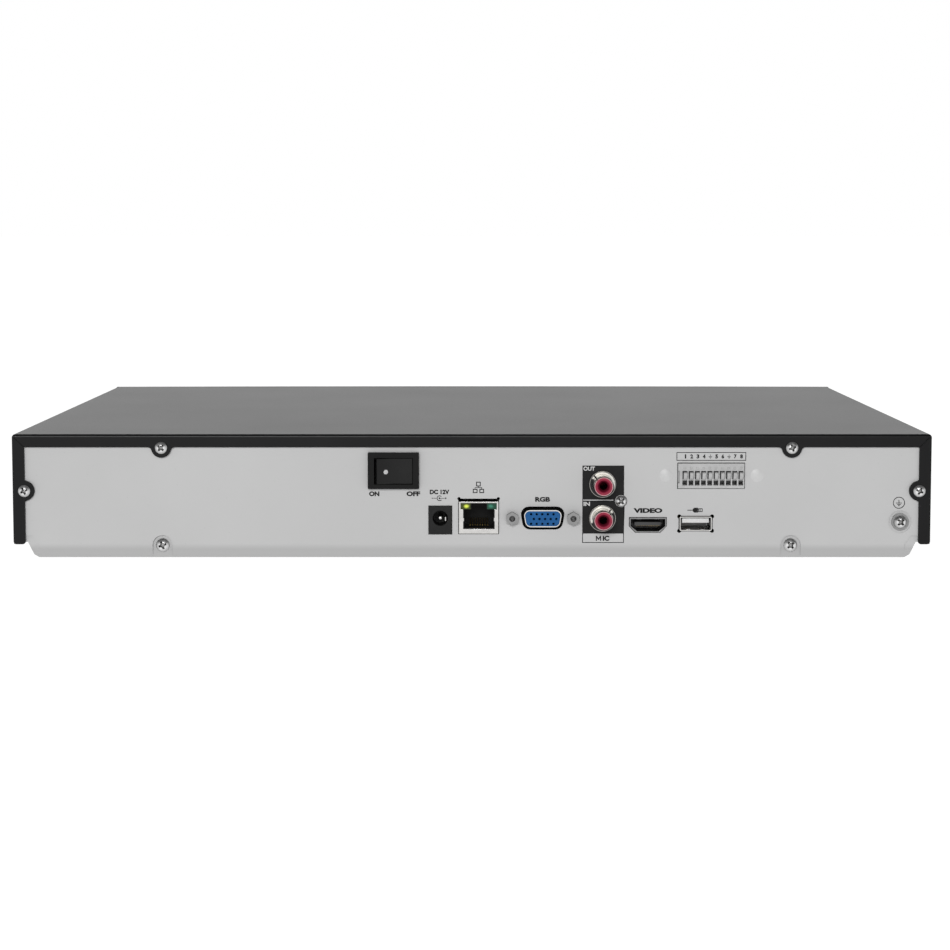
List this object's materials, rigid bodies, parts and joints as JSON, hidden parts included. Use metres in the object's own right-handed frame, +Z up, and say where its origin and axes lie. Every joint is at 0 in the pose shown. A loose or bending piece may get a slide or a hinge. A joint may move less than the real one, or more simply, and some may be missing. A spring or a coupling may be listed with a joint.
{
  "type": "dvr recorder",
  "caption": "Flat black steel video recorder with a light grey rear panel of sockets, a rocker power switch and a spring terminal block.",
  "frame": {"origin": "centre of the footprint's bounding box, on the surface under the feet", "axes": "+X to the right when looking at the sockets, +Y from the sockets towards the front bezel, +Z up"},
  "size_m": [0.375, 0.2816, 0.0534],
  "materials": {
    "cover_paint": "black satin powder coat",
    "panel_paint": "light grey satin paint",
    "foot_rubber": "matt",
    "zinc_steel": "bright zinc plate",
    "bezel_plastic": "satin black moulding",
    "smoked_window": "smoked, polished",
    "clear_lens": "clear moulding",
    "plated_shell": "nickel plate",
    "white_plastic": "plain",
    "black_plastic": "plain",
    "gold_contacts": "gold plate",
    "indicator": "translucent",
    "blue_plastic": "plain",
    "red_plastic": "plain",
    "grey_plastic": "plain",
    "circuit_board": "green solder mask",
    "board_parts": "mixed parts",
    "bare_aluminium": "cast or machined",
    "brass_standoff": "plain",
    "cable_jacket": "PVC",
    "lid_steel": "brushed",
    "platter": "polished"
  },
  "bodies": {
    "root": {"top_cover": "cover_paint", "rear_panel": "panel_paint", "bottom_pan": "panel_paint", "feet": "foot_rubber", "cover_screws": "zinc_steel", "panel_screws": "zinc_steel", "bracket_rivets": "panel_paint", "front_bezel": "bezel_plastic", "front_window": "smoked_window", "status_lenses": "clear_lens", "front_usb_shell": "plated_shell", "front_usb_tongue": "white_plastic", "front_board": "circuit_board", "rocker_housing": "black_plastic", "dc_jack_body": "black_plastic", "dc_jack_pin": "plated_shell", "dc_jack_spring": "plated_shell", "network_shell": "plated_shell", "network_insert": "black_plastic", "network_contacts": "gold_contacts", "network_lights": "indicator", "vga_shell": "plated_shell", "vga_insert": "blue_plastic", "vga_jackscrews": "plated_shell", "audio_block": "black_plastic", "audio_barrels": "plated_shell", "audio_insulators": "red_plastic", "audio_contacts": "gold_contacts", "audio_screw": "zinc_steel", "hdmi_shell": "plated_shell", "hdmi_tongue": "black_plastic", "usb_shell": "plated_shell", "usb_tongue": "white_plastic", "terminal_body": "grey_plastic", "ground_screw": "zinc_steel", "ground_washer": "zinc_steel", "main_board": "circuit_board", "board_parts": "board_parts", "heatsink": "bare_aluminium", "alarm_board": "circuit_board", "standoffs": "brass_standoff", "wiring": "cable_jacket", "drive_base": "bare_aluminium", "drive_lid": "lid_steel", "drive_screws": "zinc_steel", "fan_frame": "black_plastic"},
    "rocker": {"rocker": "black_plastic"},
    "drive_platters": {"drive_platters": "platter"},
    "drive_arm": {"drive_arm": "bare_aluminium"},
    "fan_rotor": {"fan_rotor": "black_plastic"},
    "lever_1": {"lever_1": "grey_plastic"},
    "lever_2": {"lever_2": "grey_plastic"},
    "lever_3": {"lever_3": "grey_plastic"},
    "lever_4": {"lever_4": "grey_plastic"},
    "lever_5": {"lever_5": "grey_plastic"},
    "lever_6": {"lever_6": "grey_plastic"},
    "lever_7": {"lever_7": "grey_plastic"},
    "lever_8": {"lever_8": "grey_plastic"},
    "lever_9": {"lever_9": "grey_plastic"},
    "lever_10": {"lever_10": "grey_plastic"}
  },
  "joints": [
    {"name": "rocker_tilt", "type": "hinge", "parent": "root", "child": "rocker", "pos_m": [-0.032, -0.13045, 0.0383], "axis": [0, 0, -1], "range_deg": [0, 16]},
    {"name": "platters_spin", "type": "hinge", "parent": "root", "child": "drive_platters", "pos_m": [-0.119, 0.052, 0.02], "axis": [0, 0, 1], "continuous": true},
    {"name": "arm_swing", "type": "hinge", "parent": "root", "child": "drive_arm", "pos_m": [-0.147, -0.008, 0.02], "axis": [0, 0, 1], "range_deg": [0, 34]},
    {"name": "fan_spin", "type": "hinge", "parent": "root", "child": "fan_rotor", "pos_m": [-0.177, -0.07875, 0.031], "axis": [1, 0, 0], "continuous": true},
    {"name": "lever_1_push", "type": "slide", "parent": "root", "child": "lever_1", "axis": [0, 1, 0], "range_m": [0, 0.0012], "stiffness_N_per_m": 400, "springref_m": -0.0005},
    {"name": "lever_2_push", "type": "slide", "parent": "root", "child": "lever_2", "axis": [0, 1, 0], "range_m": [0, 0.0012], "stiffness_N_per_m": 400, "springref_m": -0.0005},
    {"name": "lever_3_push", "type": "slide", "parent": "root", "child": "lever_3", "axis": [0, 1, 0], "range_m": [0, 0.0012], "stiffness_N_per_m": 400, "springref_m": -0.0005},
    {"name": "lever_4_push", "type": "slide", "parent": "root", "child": "lever_4", "axis": [0, 1, 0], "range_m": [0, 0.0012], "stiffness_N_per_m": 400, "springref_m": -0.0005},
    {"name": "lever_5_push", "type": "slide", "parent": "root", "child": "lever_5", "axis": [0, 1, 0], "range_m": [0, 0.0012], "stiffness_N_per_m": 400, "springref_m": -0.0005},
    {"name": "lever_6_push", "type": "slide", "parent": "root", "child": "lever_6", "axis": [0, 1, 0], "range_m": [0, 0.0012], "stiffness_N_per_m": 400, "springref_m": -0.0005},
    {"name": "lever_7_push", "type": "slide", "parent": "root", "child": "lever_7", "axis": [0, 1, 0], "range_m": [0, 0.0012], "stiffness_N_per_m": 400, "springref_m": -0.0005},
    {"name": "lever_8_push", "type": "slide", "parent": "root", "child": "lever_8", "axis": [0, 1, 0], "range_m": [0, 0.0012], "stiffness_N_per_m": 400, "springref_m": -0.0005},
    {"name": "lever_9_push", "type": "slide", "parent": "root", "child": "lever_9", "axis": [0, 1, 0], "range_m": [0, 0.0012], "stiffness_N_per_m": 400, "springref_m": -0.0005},
    {"name": "lever_10_push", "type": "slide", "parent": "root", "child": "lever_10", "axis": [0, 1, 0], "range_m": [0, 0.0012], "stiffness_N_per_m": 400, "springref_m": -0.0005}
  ]
}
